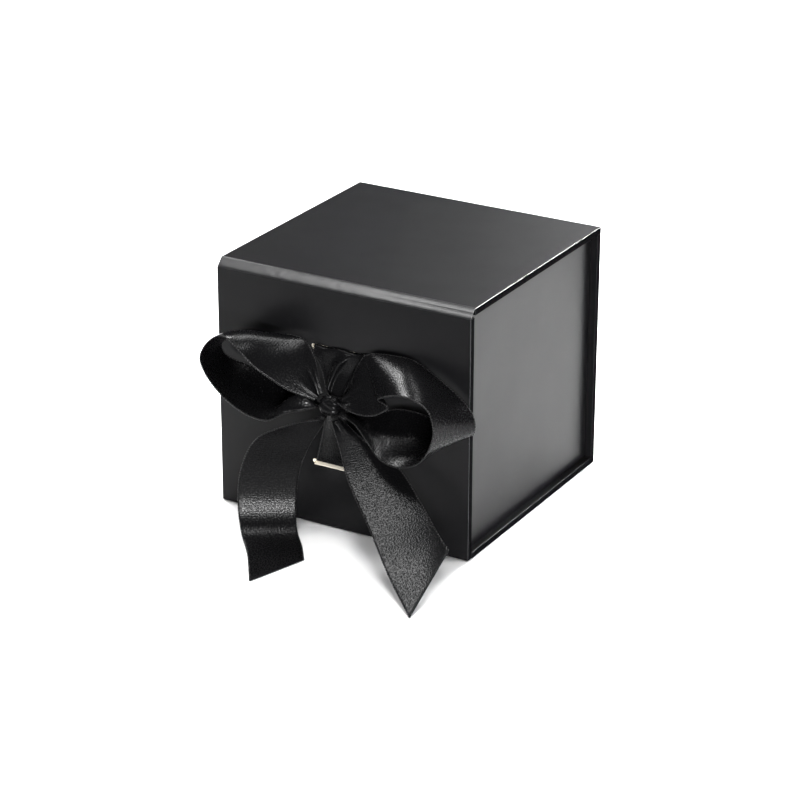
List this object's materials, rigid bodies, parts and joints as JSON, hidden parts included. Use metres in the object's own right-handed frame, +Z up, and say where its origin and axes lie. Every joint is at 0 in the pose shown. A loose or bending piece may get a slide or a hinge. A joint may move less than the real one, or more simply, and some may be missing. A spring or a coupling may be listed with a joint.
{
  "type": "gift box",
  "caption": "Rigid book-style gift box: a wrap-round case hinges open over a lined tray, and a magnetic front flap carries a ribbon tied in a bow.",
  "frame": {"origin": "on the table, midway between the left and right edges and between the flap's face and the spine's face, in the plane of the base's underside", "axes": "+X to the right of the flap, -Y out of the flap's face, +Z up"},
  "size_m": [0.1141, 0.1614, 0.101],
  "materials": {
    "covering_paper": "satin",
    "lining_paper": "matte",
    "grey_board": "matte",
    "flap_core_board": "matte",
    "stay_paper": "matte",
    "magnet_metal": "satin",
    "plate_steel": "satin",
    "satin_ribbon": "satin"
  },
  "bodies": {
    "base": {"base_board": "grey_board", "base_wrap": "covering_paper", "spine_board": "grey_board", "spine_wrap": "covering_paper", "tray_floor_board": "grey_board", "tray_front_board": "grey_board", "tray_back_board": "grey_board", "tray_left_board": "grey_board", "tray_right_board": "grey_board", "stay_front_left": "stay_paper", "stay_front_right": "stay_paper", "stay_back_left": "stay_paper", "stay_back_right": "stay_paper", "tray_wrap": "covering_paper", "tray_lining": "lining_paper", "floor_lining": "lining_paper", "catch_plate_left": "plate_steel", "catch_plate_right": "plate_steel"},
    "lid": {"lid_board": "grey_board", "lid_wrap": "covering_paper", "lid_lining": "lining_paper"},
    "flap": {"flap_board": "flap_core_board", "flap_wrap": "covering_paper", "flap_lining": "lining_paper", "magnet_left": "magnet_metal", "magnet_right": "magnet_metal", "ribbon_back_run": "satin_ribbon", "ribbon_upper_band": "satin_ribbon", "ribbon_lower_band": "satin_ribbon", "bow_knot": "satin_ribbon", "bow_left_loop": "satin_ribbon", "bow_right_loop": "satin_ribbon", "bow_left_tail": "satin_ribbon", "bow_right_tail": "satin_ribbon"}
  },
  "joints": [
    {"name": "lid_hinge", "type": "hinge", "parent": "base", "child": "lid", "pos_m": [0, 0.05325, 0.09825], "axis": [-1, 0, 0], "range_deg": [0, 180]},
    {"name": "flap_hinge", "type": "hinge", "parent": "lid", "child": "flap", "pos_m": [0, -0.05153, 0.09928], "axis": [-1, 0, 0], "range_deg": [0, 120]}
  ]
}
